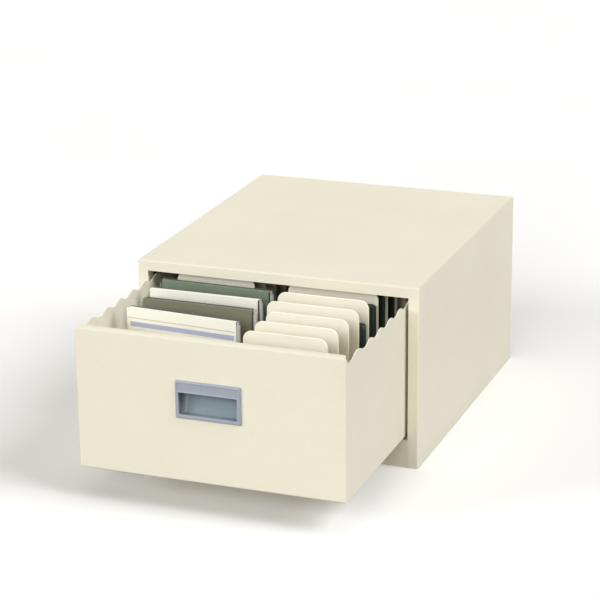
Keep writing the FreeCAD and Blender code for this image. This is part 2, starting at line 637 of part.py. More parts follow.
# --------------------------------------------------------------- dividers
floor_top = VAL["front_bottom"] + 2 * VAL["sheet_d"]
ROWS = {"left": (10, 12, 14, 16), "right": (0, 2, 4, 6, 8, 10, 12, 14, 16)}
for side, place in (("left", "-plate_left"), ("right", "plate_right")):
    for k, row in enumerate(ROWS[side]):
        body = doc.addObject("PartDesign::Body", "Plate_%s_%d" % (side, k + 1))
        sk = sketch_on(body, "PlateOutline_%s_%d" % (side, k + 1), "XZ_Plane")
        hwp = VAL["plate_width"] / 2
        left = hwp + (VAL["plate_extra"] if side == "right" and row >= 6 else 0)
        zb, zt, r = 0.2, VAL["plate_top"] - floor_top, VAL["plate_corner"]
        tw, tr, ts = VAL["tab_width"] / 2, -VAL["tab_reach"], VAL["tab_spread"] / 2
        c = r * (1 - math.sqrt(0.5))
        V = Vector
        outline = [
            ("line", V(-left, zb, 0), V(-ts - tw, zb, 0)),
            ("line", V(-ts - tw, zb, 0), V(-ts - tw, tr, 0)),
            ("line", V(-ts - tw, tr, 0), V(-ts + tw, tr, 0)),
            ("line", V(-ts + tw, tr, 0), V(-ts + tw, zb, 0)),
            ("line", V(-ts + tw, zb, 0), V(ts - tw, zb, 0)),
            ("line", V(ts - tw, zb, 0), V(ts - tw, tr, 0)),
            ("line", V(ts - tw, tr, 0), V(ts + tw, tr, 0)),
            ("line", V(ts + tw, tr, 0), V(ts + tw, zb, 0)),
            ("line", V(ts + tw, zb, 0), V(hwp, zb, 0)),
            ("line", V(hwp, zb, 0), V(hwp, zt - r, 0)),
            ("arc", V(hwp, zt - r, 0), V(hwp - c, zt - c, 0), V(hwp - r, zt, 0)),
            ("line", V(hwp - r, zt, 0), V(-left + r, zt, 0)),
            ("arc", V(-left + r, zt, 0), V(-left + c, zt - c, 0), V(-left, zt - r, 0)),
            ("line", V(-left, zt - r, 0), V(-left, zb, 0)),
        ]
        draw(sk, outline)
        pad = body.newObject("PartDesign::Pad", "PlatePad_%s_%d" % (side, k + 1))
        pad.Profile = sk
        pad.Midplane = True
        bind(pad, "Length", "plate_thick")
        bind(body, "Placement.Base.x", place)
        bind(body, "Placement.Base.y", "%s+43.25+plate_thick/2+%d*slot_pitch" % (o, row))
        bind(body, "Placement.Base.z", "front_bottom+2*sheet_d")
        keep(body, "divider_%s_%d" % (side, k + 1))

# --------------------------------------------------------------- media
# the cases lean and slide about: rear face at mid-length behind the cabinet's face,
# middle across, and turn about the vertical (minus: right end nearer the front)
for n, (ym, xm, turn) in enumerate(((-96.6, -59.6, -4.2), (-62.0, -57.6, -0.3), (-29.6, -64.3, 0.5), (-0.7, -63.2, -0.8))):
    b = doc.addObject("Part::Box", "case_%d" % (n + 1))
    bind(b, "Length", "case_width")
    bind(b, "Width", "case_thick")
    bind(b, "Height", "case_height")
    b.Placement = Placement(Vector(xm, fy + ym, floor_top), Rotation(Vector(0, 0, 1), turn)).multiply(
        Placement(Vector(-VAL["case_width"] / 2, -VAL["case_thick"], 0), Rotation())
    )
    keep(b, "media_case_%d" % (n + 1))
for n, k in enumerate((4, 5, 6, 7)):
    yb = "%s+43.25+%d*wave_pitch-0.3" % (o, k)
    b = block("sleeve_%d" % (n + 1), "66.5-sleeve_width/2", "66.5+sleeve_width/2", yb + "-sleeve_thick", yb, "front_bottom+2*sheet_d", "front_bottom+2*sheet_d+" + ("sleeve_low" if n == 0 else "sleeve_height"))
    br = rounded("sleeve_round_%d" % (n + 1), b, 2.0, lambda e: along(e, "y"))
    keep(br, "media_sleeve_%d" % (n + 1))

doc.recompute()

# --------------------------------------------------------------- tests, then the files
bad = []
for ob in doc.Objects:
    for word in ("Invalid", "Error"):
        if word in ob.State:
            bad.append("%s is %s" % (ob.Name, word))
seen = set()
for ob, label in KEEP:
    s = ob.Shape
    if s.isNull() or not s.isValid():
        bad.append(label + " has no valid shape")
        continue
    if label in seen:
        bad.append(label + " is there twice")
    seen.add(label)
    n = len(s.Solids)
    want = 4 if label == "drawer_front_screws" else 1
    if n != want or s.Volume < 1:
        bad.append("%s has %d solids, volume %.2f" % (label, n, s.Volume))
if bad:
    raise RuntimeError("; ".join(bad))

os.makedirs("parts", exist_ok=True)
for ob, label in KEEP:
    ob.Shape.exportStep("parts/%s.step" % label)
    bb = ob.Shape.BoundBox
    print("%-26s %8.0f mm3  x %.1f %.1f  y %.1f %.1f  z %.1f %.1f" % (label, ob.Shape.Volume, bb.XMin, bb.XMax, bb.YMin, bb.YMax, bb.ZMin, bb.ZMax))
print(len(KEEP), "nodes")
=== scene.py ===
import json
import math
import random

import bmesh
import bpy
from mathutils import Matrix, Vector


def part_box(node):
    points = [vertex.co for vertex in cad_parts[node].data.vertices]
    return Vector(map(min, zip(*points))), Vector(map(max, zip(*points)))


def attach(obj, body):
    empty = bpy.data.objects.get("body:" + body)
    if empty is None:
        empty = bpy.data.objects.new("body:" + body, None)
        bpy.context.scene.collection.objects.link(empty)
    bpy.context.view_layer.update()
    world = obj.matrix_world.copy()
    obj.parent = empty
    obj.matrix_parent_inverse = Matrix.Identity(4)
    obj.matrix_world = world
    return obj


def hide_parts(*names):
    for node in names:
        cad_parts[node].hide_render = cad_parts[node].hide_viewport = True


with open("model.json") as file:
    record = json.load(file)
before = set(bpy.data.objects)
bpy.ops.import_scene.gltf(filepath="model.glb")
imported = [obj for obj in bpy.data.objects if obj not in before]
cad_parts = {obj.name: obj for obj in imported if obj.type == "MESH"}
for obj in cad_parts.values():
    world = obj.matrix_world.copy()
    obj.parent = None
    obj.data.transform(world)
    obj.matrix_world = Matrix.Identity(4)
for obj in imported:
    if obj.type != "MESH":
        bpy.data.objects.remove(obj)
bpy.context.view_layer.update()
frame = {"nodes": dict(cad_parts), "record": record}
nodes, record = frame["nodes"], frame["record"]
rnd = random.Random(7)
MM = 0.001
FRONT = -177.5  # the cabinet's front face, mm
OUT = -359.5  # the drawer's front face, mm
FLOOR_TOP = 36.4  # upper face of the drawer floor, mm

# ------------------------------------------------------------------ camera
az, el, roll = -0.3605, 0.3221, -0.0096
M = (
    Matrix(((math.cos(roll), -math.sin(roll), 0), (math.sin(roll), math.cos(roll), 0), (0, 0, 1)))
    @ Matrix(((1, 0, 0), (0, math.cos(el), -math.sin(el)), (0, math.sin(el), math.cos(el))))
    @ Matrix(((1, 0, 0), (0, 0, -1), (0, 1, 0)))
    @ Matrix(((math.cos(az), -math.sin(az), 0), (math.sin(az), math.cos(az), 0), (0, 0, 1)))
)
t = Vector((-23.4769, 157.7561, 2339.8111))
place = (M.transposed() @ -t) + Vector((0, FRONT, 0))
turn = Matrix((M[0], -M[1], -M[2])).transposed()
cam_data = bpy.data.cameras.new("camera")
cam_data.sensor_width = 36.0
cam_data.lens = 2226.4702 * 36.0 / 600.0
cam_data.clip_start, cam_data.clip_end = 0.05, 60.0
cam = bpy.data.objects.new("camera", cam_data)
bpy.context.scene.collection.objects.link(cam)
cam.matrix_world = Matrix.Translation(place * MM) @ turn.to_4x4()
bpy.context.scene.camera = cam


# ------------------------------------------------------------------ materials
class Tree:
    """A node material with a Principled shader and a few shorthands."""

    def __init__(self, name):
        self.m = bpy.data.materials.new(name)
        self.m.use_nodes = True
        self.t = self.m.node_tree
        self.t.nodes.clear()
        self.out = self.t.nodes.new("ShaderNodeOutputMaterial")
        self.p = self.t.nodes.new("ShaderNodeBsdfPrincipled")
        self.link(self.p.outputs[0], self.out.inputs[0])
        self.co = self.t.nodes.new("ShaderNodeTexCoord").outputs["Object"]

    def link(self, a, b):
        self.t.links.new(a, b)

    def noise(self, scale, detail=2.0, rough=0.5, co=None, stretch=None):
        n = self.t.nodes.new("ShaderNodeTexNoise")
        n.inputs["Scale"].default_value = scale
        n.inputs["Detail"].default_value = detail
        n.inputs["Roughness"].default_value = rough
        src = co or self.co
        if stretch:
            mp = self.t.nodes.new("ShaderNodeMapping")
            mp.inputs["Scale"].default_value = stretch
            self.link(src, mp.inputs["Vector"])
            src = mp.outputs[0]
        self.link(src, n.inputs["Vector"])
        return n.outputs["Fac"]

    def voronoi(self, scale, feature="F1"):
        n = self.t.nodes.new("ShaderNodeTexVoronoi")
        n.feature = feature
        n.inputs["Scale"].default_value = scale
        self.link(self.co, n.inputs["Vector"])
        return n.outputs["Distance"]

    def ranged(self, fac, a, b, c, d, smooth=False):
        n = self.t.nodes.new("ShaderNodeMapRange")
        if smooth:
            n.interpolation_type = "SMOOTHSTEP"
        for i, v in zip((1, 2, 3, 4), (a, b, c, d)):
            n.inputs[i].default_value = v
        self.link(fac, n.inputs[0])
        return n.outputs[0]

    def math(self, op, a, b=None):
        n = self.t.nodes.new("ShaderNodeMath")
        n.operation = op
        for i, v in enumerate((a, b)):
            if v is None:
                continue
            if isinstance(v, (int, float)):
                n.inputs[i].default_value = v
            else:
                self.link(v, n.inputs[i])
        return n.outputs[0]

    def mix(self, fac, a, b):
        n = self.t.nodes.new("ShaderNodeMix")
        n.data_type = "RGBA"
        if isinstance(fac, (int, float)):
            n.inputs[0].default_value = fac
        else:
            self.link(fac, n.inputs[0])
        for i, v in ((6, a), (7, b)):
            if isinstance(v, (tuple, list)):
                n.inputs[i].default_value = (*v[:3], 1)
            else:
                self.link(v, n.inputs[i])
        return n.outputs[2]

    def split(self):
        n = self.t.nodes.new("ShaderNodeSeparateXYZ")
        self.link(self.co, n.inputs[0])
        return n.outputs

    def edges(self, radius):
        """1 along edges that stick out or in, 0 on flat faces."""
        b = self.t.nodes.new("ShaderNodeBevel")
        b.samples = 4
        b.inputs[0].default_value = radius
        g = self.t.nodes.new("ShaderNodeNewGeometry")
        d = self.t.nodes.new("ShaderNodeVectorMath")
        d.operation = "DOT_PRODUCT"
        self.link(b.outputs[0], d.inputs[0])
        self.link(g.outputs["Normal"], d.inputs[1])
        return self.ranged(d.outputs["Value"], 0.80, 0.995, 1.0, 0.0, True)

    def fold_shade(self):
        """1 where the sheet is folded over at 45 degrees, 0 on upright and level faces: the mask for painted shade on
        the folds.
        """
        g = self.t.nodes.new("ShaderNodeNewGeometry")
        n = self.t.nodes.new("ShaderNodeSeparateXYZ")
        self.link(g.outputs["Normal"], n.inputs[0])
        zz = self.math("MULTIPLY", n.outputs[2], n.outputs[2])
        return self.ranged(self.math("MULTIPLY", zz, self.math("SUBTRACT", 1.0, zz)), 0.02, 0.22, 0.0, 1.0)

    def inside(self):
        """1 on the casing's inner faces behind its front frame, 0 on everything else: the mask for painted shade within
        the casing.
        """
        g = self.t.nodes.new("ShaderNodeNewGeometry")
        n = self.t.nodes.new("ShaderNodeSeparateXYZ")
        self.link(g.outputs["Normal"], n.inputs[0])
        found = None
        for axis, limit in ((0, -0.147), (1, -0.170), (2, -0.188)):
            f = self.math("LESS_THAN", self.math("MULTIPLY", self.split()[axis], n.outputs[axis]), limit)
            found = f if found is None else self.math("MAXIMUM", found, f)
        return self.math("MULTIPLY", found, self.ranged(self.split()[1], -0.165, -0.145, 0.0, 1.0, True))

    def bump(self, *layers):
        """layers of (height, strength, distance), the finest last."""
        prev = None
        for h, strength, dist in layers:
            b = self.t.nodes.new("ShaderNodeBump")
            b.inputs["Strength"].default_value = strength
            b.inputs["Distance"].default_value = dist
            self.link(h, b.inputs["Height"])
            if prev:
                self.link(prev, b.inputs["Normal"])
            prev = b.outputs[0]
        self.link(prev, self.p.inputs["Normal"])

    def set(self, **kw):
        for k, v in kw.items():
            self.p.inputs[k.replace("_", " ")].default_value = v


def srgb(r, g, b):
    """Linear values of an sRGB colour in 0..255."""
    return tuple(((c / 255) / 12.92) if c / 255 <= 0.04045 else (((c / 255) + 0.055) / 1.055) ** 2.4 for c in (r, g, b))


def tone(rgb, k):
    return tuple(min(1.0, c * k) for c in rgb)


def powder_coat(name, rgb):
    """Satin powder coat on sheet steel: fine orange peel and slow tone drift, with a painted highlight on its edges,
    painted shade on its 45-degree folds and on the casing's hidden inner faces, and a little darker in blotches low
    down.
    """
    m = Tree(name)
    slow = m.noise(7.0, 3.0, 0.55)
    fine = m.noise(160.0, 3.0, 0.6)
    col = m.mix(m.ranged(slow, 0.3, 0.7, 0, 1), tone(rgb, 0.972), tone(rgb, 1.012))
    col = m.mix(m.ranged(fine, 0.35, 0.65, 0, 0.35), col, tone(rgb, 0.955))
    speck = m.ranged(m.voronoi(210.0), 0.0, 0.055, 0.35, 0.0)
    col = m.mix(speck, col, tone(rgb, 0.80))
    edge = m.edges(0.0011)
    # painted highlight: the edges mixed lighter
    col = m.mix(m.math("MULTIPLY", edge, 0.45), col, tone(rgb, 1.07))
    col = m.mix(m.math("MULTIPLY", m.fold_shade(), 0.9), col, tone(rgb, 0.80))  # painted shade on the 45-degree folds, dimming their highlight
    col = m.mix(m.math("MULTIPLY", m.inside(), 0.9), col, srgb(58, 66, 56))  # painted shade: the casing's inner faces behind the front frame darkened as in deep shade
    # darker in blotches near the bottom
    low = m.ranged(m.split()[2], 0.0, 0.022, 0.25, 0.0, True)
    col = m.mix(m.math("MULTIPLY", low, m.ranged(m.noise(60.0, 4.0), 0.35, 0.7, 0.3, 1.0)), col, tone(rgb, 0.82))
    m.link(col, m.p.inputs["Base Color"])
    r = m.ranged(m.noise(24.0, 4.0, 0.6), 0.3, 0.7, 0.40, 0.50)
    m.link(m.math("SUBTRACT", r, m.math("MULTIPLY", edge, 0.07)), m.p.inputs["Roughness"])
    m.bump((m.noise(55.0, 2.0), 0.10, 0.0004), (m.noise(620.0, 2.0, 0.55), 0.20, 0.00012))
    m.p.inputs["Specular IOR Level"].default_value = 0.42
    return m.m


def moulded(name, rgb, rough=(0.42, 0.54), grain=900.0, depth=0.00006, drift=0.03, scuff=0.0, rim=(0.35, 1.10), corner_shade=None, deep=None):
    """Moulded plastic with a fine spark-eroded grain and a painted highlight along its edges; it can also take painted
    shade in its corners and hollows, and painted shade deeper into a recess.
    """
    m = Tree(name)
    slow = m.noise(18.0, 3.0)
    col = m.mix(m.ranged(slow, 0.3, 0.7, 0, 1), tone(rgb, 1 - drift), tone(rgb, 1 + drift * 0.5))
    edge = m.edges(0.0006)
    # painted highlight along the edges
    col = m.mix(m.math("MULTIPLY", edge, rim[0]), col, tone(rgb, rim[1]))
    if scuff:
        lines = m.noise(90.0, 5.0, 0.7, stretch=(1.0, 1.0, 9.0))
        col = m.mix(m.ranged(lines, 0.60, 0.75, 0.0, scuff), col, tone(rgb, 1.25))
    # painted shade: darker where ambient occlusion finds corners and hollows
    if corner_shade:
        ao = m.t.nodes.new("ShaderNodeAmbientOcclusion")
        ao.samples = 8
        ao.inputs["Distance"].default_value = corner_shade[0]
        col = m.mix(m.ranged(ao.outputs["AO"], 0.15, 0.75, corner_shade[1], 0.0, True), col, corner_shade[2])
    if deep:  # painted shade: darker the deeper into the recess: (y near, y far, factor, colour)
        col = m.mix(m.ranged(m.split()[1], deep[0], deep[1], 0.0, deep[2]), col, deep[3])
    m.link(col, m.p.inputs["Base Color"])
    m.link(m.ranged(m.noise(70.0, 3.0), 0.3, 0.7, rough[0], rough[1]), m.p.inputs["Roughness"])
    m.bump((m.noise(grain, 2.0, 0.6), 0.25, depth))
    return m.m


def zinc(name):
    m = Tree(name)
    flakes = m.voronoi(260.0)
    slow = m.noise(30.0, 4.0, 0.6)
    col = m.mix(m.ranged(flakes, 0.0, 0.8, 0, 1), (0.44, 0.455, 0.47), (0.62, 0.63, 0.64))
    col = m.mix(m.ranged(slow, 0.45, 0.7, 0, 0.5), col, (0.55, 0.52, 0.42))
    m.link(col, m.p.inputs["Base Color"])
    m.set(Metallic=1.0)
    brushed = m.noise(240.0, 3.0, 0.6, stretch=(1.0, 0.06, 1.0))
    m.link(m.ranged(brushed, 0.3, 0.7, 0.28, 0.46), m.p.inputs["Roughness"])
    m.bump((brushed, 0.12, 0.00005))
    return m.m


def rubber(name):
    m = Tree(name)
    col = m.mix(m.ranged(m.noise(120.0, 4.0), 0.35, 0.7, 0, 1), (0.020, 0.020, 0.021), (0.055, 0.054, 0.052))
    m.link(col, m.p.inputs["Base Color"])
    m.link(m.ranged(m.noise(90.0, 3.0), 0.3, 0.7, 0.70, 0.88), m.p.inputs["Roughness"])
    m.bump((m.noise(500.0, 3.0), 0.3, 0.0001))
    return m.m


def card(name, rgb, bands=()):
    """Printed card: paper fibre, faint mottling, and plain bands across it, (z low, z high, x low, x high, colour) in mm."""
    m = Tree(name)
    col = m.mix(m.ranged(m.noise(36.0, 4.0), 0.3, 0.7, 0, 1), tone(rgb, 0.965), tone(rgb, 1.01))
    col = m.mix(m.ranged(m.noise(1300.0, 2.0), 0.35, 0.7, 0, 0.25), col, tone(rgb, 0.90))
    x, _, z = m.split()
    for z0, z1, x0, x1, c in bands:
        f = m.math("MULTIPLY", m.ranged(z, z0 * MM - 0.0002, z0 * MM + 0.0002, 0, 1), m.ranged(z, z1 * MM - 0.0002, z1 * MM + 0.0002, 1, 0))
        g = m.math("MULTIPLY", m.ranged(x, x0 * MM - 0.0002, x0 * MM + 0.0002, 0, 1), m.ranged(x, x1 * MM - 0.0002, x1 * MM + 0.0002, 1, 0))
        col = m.mix(m.math("MULTIPLY", f, g), col, c)
    m.link(col, m.p.inputs["Base Color"])
    m.link(m.ranged(m.noise(50.0, 3.0), 0.3, 0.7, 0.45, 0.60), m.p.inputs["Roughness"])
    m.bump((m.noise(1500.0, 2.0), 0.15, 0.00003))
    return m.m


def clear(name, rgb, alpha, rough):
    """Clear polystyrene, a little scratched: thin, so what is behind it shows unbent."""
    m = Tree(name)
    scratch = m.noise(70.0, 6.0, 0.75, stretch=(1.0, 1.0, 6.0))
    m.link(m.mix(m.ranged(scratch, 0.55, 0.75, 0.0, 0.5), rgb, tone(rgb, 0.9)), m.p.inputs["Base Color"])
    m.link(m.ranged(scratch, 0.50, 0.75, rough, rough + 0.2), m.p.inputs["Roughness"])
    m.bump((scratch, 0.05, 0.00003))
    m.set(Alpha=alpha)
    m.p.inputs["Specular IOR Level"].default_value = 0.5
    return m.m


CREAM = srgb(241, 236, 216)
cup_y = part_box("handle_cup")[0][1]
mats = {
    "cream_paint": powder_coat("cream_paint", CREAM),
    "cream_plastic": moulded("cream_plastic", srgb(250, 245, 227), (0.38, 0.50), 700.0, 0.00005, 0.02, 0.10),
    # grey plastic: painted highlight on its edges, painted shade in its corners and deeper in its cup
    "grey_plastic": moulded("grey_plastic", srgb(162, 168, 180), (0.26, 0.38), 800.0, 0.00004, 0.03, rim=(0.9, 1.45), corner_shade=(0.026, 0.92, srgb(44, 72, 66)), deep=(cup_y + 0.0025, cup_y + 0.0125, 0.40, srgb(30, 96, 100))),
    "zinc_steel": zinc("zinc_steel"),
    "white_nylon": moulded("white_nylon", srgb(226, 224, 214), (0.40, 0.52), 600.0, 0.00005, 0.02),
    "black_rubber": rubber("black_rubber"),
    "case_white": card("case_white", srgb(253, 251, 238)),
    "case_olive": card("case_olive", srgb(122, 120, 98)),
    "case_green": card("case_green", srgb(112, 128, 108)),
    # dark_sleeve colours the dark wallets, painted shade for the deep rear pockets
    "dark_sleeve": moulded("dark_sleeve", srgb(60, 76, 66), (0.30, 0.44), 500.0, 0.00005, 0.10),
}
strip = card(
    "case_strip",
    srgb(253, 251, 238),
    bands=((166.9, 167.7, -120.0, -1.0, srgb(205, 190, 160)), (158.4, 163.4, -117.5, -1.5, srgb(182, 187, 215))),
)
shell_mat = clear("clear_case", srgb(250, 250, 250), 0.015, 0.08)
end_mat = clear("clear_case_end", srgb(244, 243, 238), 0.26, 0.14)
tray_mat = moulded("disc_tray", srgb(52, 52, 46), (0.30, 0.42), 600.0, 0.00004, 0.05)

slot_of = {s["node"]: s["material_slot"] for s in record["subparts"]}
for name, ob in nodes.items():
    ob.data.materials.clear()
    ob.data.materials.append(mats[slot_of[name]])


# ------------------------------------------------------------------ mesh helpers
def finish_mesh(name, bm, mat, body, stands_for=(), bevel=0.0, segments=3, angle=50, smooth=35):
    """bm, in mm in the row frame, becomes a piece that rides on body."""
    bmesh.ops.recalc_face_normals(bm, faces=bm.faces)
    bmesh.ops.scale(bm, vec=(MM, MM, MM), verts=bm.verts)
    me = bpy.data.meshes.new(name)
    bm.to_mesh(me)
    bm.free()
    me.materials.append(mat)
    me.polygons.foreach_set("use_smooth", [True] * len(me.polygons))
    me.set_sharp_from_angle(angle=math.radians(smooth))
    ob = bpy.data.objects.new(name, me)
    bpy.context.scene.collection.objects.link(ob)
    if bevel:
        b = ob.modifiers.new("edge", "BEVEL")
        b.width = bevel * MM
        b.segments = segments
        b.limit_method = "ANGLE"
        b.angle_limit = math.radians(angle)
        b.harden_normals = True
    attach(ob, body)
    if stands_for:
        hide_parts(*stands_for)
    return ob


def rrect(x0, x1, z0, z1, r, y, n=6):
    """A rounded rectangle in the XZ plane at y."""
    r = max(min(r, (x1 - x0) / 2 - 0.01, (z1 - z0) / 2 - 0.01), 0.01)
    pts = []
    for cx, cz, a in ((x1 - r, z0 + r, -90), (x1 - r, z1 - r, 0), (x0 + r, z1 - r, 90), (x0 + r, z0 + r, 180)):
        for i in range(n + 1):
            q = math.radians(a + 90 * i / n)
            pts.append((cx + r * math.cos(q), y, cz + r * math.sin(q)))
    return pts


def loft(bm, loops, caps=(True, True)):
    rows = [[bm.verts.new(p) for p in loop] for loop in loops]
    for a, b in zip(rows, rows[1:]):
        for i in range(len(a)):
            j = (i + 1) % len(a)
            bm.faces.new((a[i], a[j], b[j], b[i]))
    if caps[0]:
        bm.faces.new(rows[0])
    if caps[1]:
        bm.faces.new(list(reversed(rows[-1])))


def prism(bm, outline, y0, y1):
    """A closed outline of (x, z) made solid from y0 to y1."""
    a = [bm.verts.new((x, y0, z)) for x, z in outline]
    b = [bm.verts.new((x, y1, z)) for x, z in outline]
    bm.faces.new(a)
    bm.faces.new(list(reversed(b)))
    for i in range(len(a)):
        j = (i + 1) % len(a)
        bm.faces.new((a[i], b[i], b[j], a[j]))


def brick(bm, lo, hi, move=None):
    """A box between two corners, moved by a matrix."""
    vs = [bm.verts.new((x, y, z)) for x in (lo[0], hi[0]) for y in (lo[1], hi[1]) for z in (lo[2], hi[2])]
    if move is not None:
        for v in vs:
            v.co = move @ v.co
    for f in ((0, 1, 3, 2), (4, 6, 7, 5), (0, 4, 5, 1), (2, 3, 7, 6), (0, 2, 6, 4), (1, 5, 7, 3)):
        bm.faces.new([vs[i] for i in f])


# ------------------------------------------------------------------ handle
def handle():
    """Bezel with a shallow sunk panel in its band, and a cup whose back slants: deep behind the band, shallow at its foot."""
    mx, mz0, mz1 = 30.4, 104.6, 127.2
    low, high = 103.4, 135.7
    sx, sz0, sz1 = 31.8, 102.0, 137.1

    def back(pts, z0, z1):
        """Shears a loop forwards towards its foot."""
        return [(x, y - 9.6 * (1 - (z - z0) / (z1 - z0)), z) for x, y, z in pts]

    bm = bmesh.new()
    loops = []
    for k in range(9):
        q = math.radians(90 * k / 8)
        s, d = 6.4 * (1 - math.sin(q)), 6.4 * (1 - math.cos(q))
        sz = 1.2 * (1 - math.sin(q))
        loops.append(back(rrect(-sx + s, sx - s, sz0 + sz, sz1 - sz, 1.2, OUT + 17.0 - d), sz0, sz1))
    loops.append(rrect(-sx, sx, sz0, sz1, 1.2, OUT + 0.02))
    bx, bz0, bz1, rc = 34.3, 100.3, 139.4, 1.5
    loops.append(rrect(-bx + 0.5, bx - 0.5, bz0 + 0.5, bz1 - 0.5, rc, OUT + 0.02))
    loops.append(rrect(-bx + 0.5, bx - 0.5, bz0 + 0.5, bz1 - 0.5, rc, OUT - 0.3))
    loops.append(rrect(-bx, bx, bz0, bz1, rc, OUT - 0.45))
    for k in range(6):
        q = math.radians(90 * k / 5)
        s, y = 1.9 * (1 - math.cos(q)), -0.5 - 1.9 * math.sin(q)
        loops.append(rrect(-bx + s, bx - s, bz0 + s, bz1 - s, rc, OUT + y))
    for k in range(6):
        q = math.radians(90 * k / 5)
        s, y = 0.6 * (1 - math.sin(q)), -2.4 + 0.6 * (1 - math.cos(q))
        loops.append(rrect(-mx - s, mx + s, mz0 - s, mz1 + s, 1.2, OUT + y))
    loops.append(rrect(-mx, mx, mz0, mz1, 1.2, OUT + 1.0))
    for k in range(1, 4):
        q = math.radians(90 * k / 3)
        s = 0.6 * (1 - math.cos(q))
        loops.append(rrect(-mx, mx, mz0 - s, mz1 + s, 1.2, OUT + 1.0 + 0.6 * math.sin(q)))
    loops.append(rrect(-mx, mx, low, high, 1.2, OUT + 1.7))
    for k in range(9):
        q = math.radians(90 * k / 8)
        s, d = 5.0 * (1 - math.cos(q)), 5.0 * (1 - math.sin(q))
        sz = 1.2 * (1 - math.cos(q))
        loops.append(back(rrect(-mx + s, mx - s, low + sz, high - sz, 1.2, OUT + 15.6 - d), low, high))
    loft(bm, loops)
    bm.normal_update()
    ob = finish_mesh("grip", bm, mats["grey_plastic"], "drawer", ["handle_cup"], smooth=40)
    # the sunk panel
    bm = bmesh.new()
    px, pz0, pz1 = 31.4, 129.0, 136.6
    loft(bm, [rrect(-px - e, px + e, pz0 - e, pz1 + e, 1.0, OUT + y) for e, y in ((1.6, -3.2), (0.8, -2.4), (0.0, -1.6))])
    bmesh.ops.recalc_face_normals(bm, faces=bm.faces)
    bmesh.ops.scale(bm, vec=(MM, MM, MM), verts=bm.verts)
    me = bpy.data.meshes.new("panel_cutter")
    bm.to_mesh(me)
    bm.free()
    cutter = bpy.data.objects.new("panel_cutter", me)
    bpy.context.scene.collection.objects.link(cutter)
    mod = ob.modifiers.new("panel", "BOOLEAN")
    mod.operation, mod.solver, mod.object = "DIFFERENCE", "EXACT", cutter
    bpy.context.view_layer.update()
    deps = bpy.context.evaluated_depsgraph_get()
    new = bpy.data.meshes.new_from_object(ob.evaluated_get(deps))
    ob.modifiers.clear()
    ob.data = new
    new.polygons.foreach_set("use_smooth", [True] * len(new.polygons))
    new.set_sharp_from_angle(angle=math.radians(32))
    bpy.data.objects.remove(cutter)


handle()


# ------------------------------------------------------------------ divider plates
def plate(name, node):
    lo, hi = (v * 1000 for v in map(Vector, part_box(node)))
    y0, y1 = lo.y, hi.y
    hw, zb, zt, r = 43.5, FLOOR_TOP + 0.2, hi.z, 9.0
    cx = hi.x - hw  # the tabs stand about this; the rear plates reach further to the left
    tw, ts, tz = 7.5, 23.0, FLOOR_TOP - 2.0
    pts = [(lo.x, zb)]
    for s in (-1, 1):
        pts += [(cx + s * ts - tw, zb), (cx + s * ts - tw, tz + 0.8), (cx + s * ts - tw + 0.8, tz), (cx + s * ts + tw - 0.8, tz), (cx + s * ts + tw, tz + 0.8), (cx + s * ts + tw, zb)]
    pts.append((cx + hw, zb))
    n = 14
    for i in range(n + 1):
        q = math.radians(90 * i / n)
        pts.append((cx + hw - r + r * math.cos(q), zt - r + r * math.sin(q)))
    for i in range(n + 1):
        q = math.radians(90 + 90 * i / n)
        pts.append((lo.x + r + r * math.cos(q), zt - r + r * math.sin(q)))
    bm = bmesh.new()
    prism(bm, pts, y0, y1)
    return finish_mesh(name, bm, mats["cream_plastic"], "drawer", [node], bevel=0.55, segments=3)


for n in sorted(nodes):
    if n.startswith("divider_"):
        plate("plate_" + n[8:], n)


# ------------------------------------------------------------------ disc cases
CASES = (
    ("case_white", strip, -96.6, -59.6, -4.2),
    ("case_olive", None, -62.0, -57.6, -0.3),
    ("case_white", None, -29.6, -64.3, 0.5),
    ("case_green", None, -0.7, -63.2, -0.8),
)


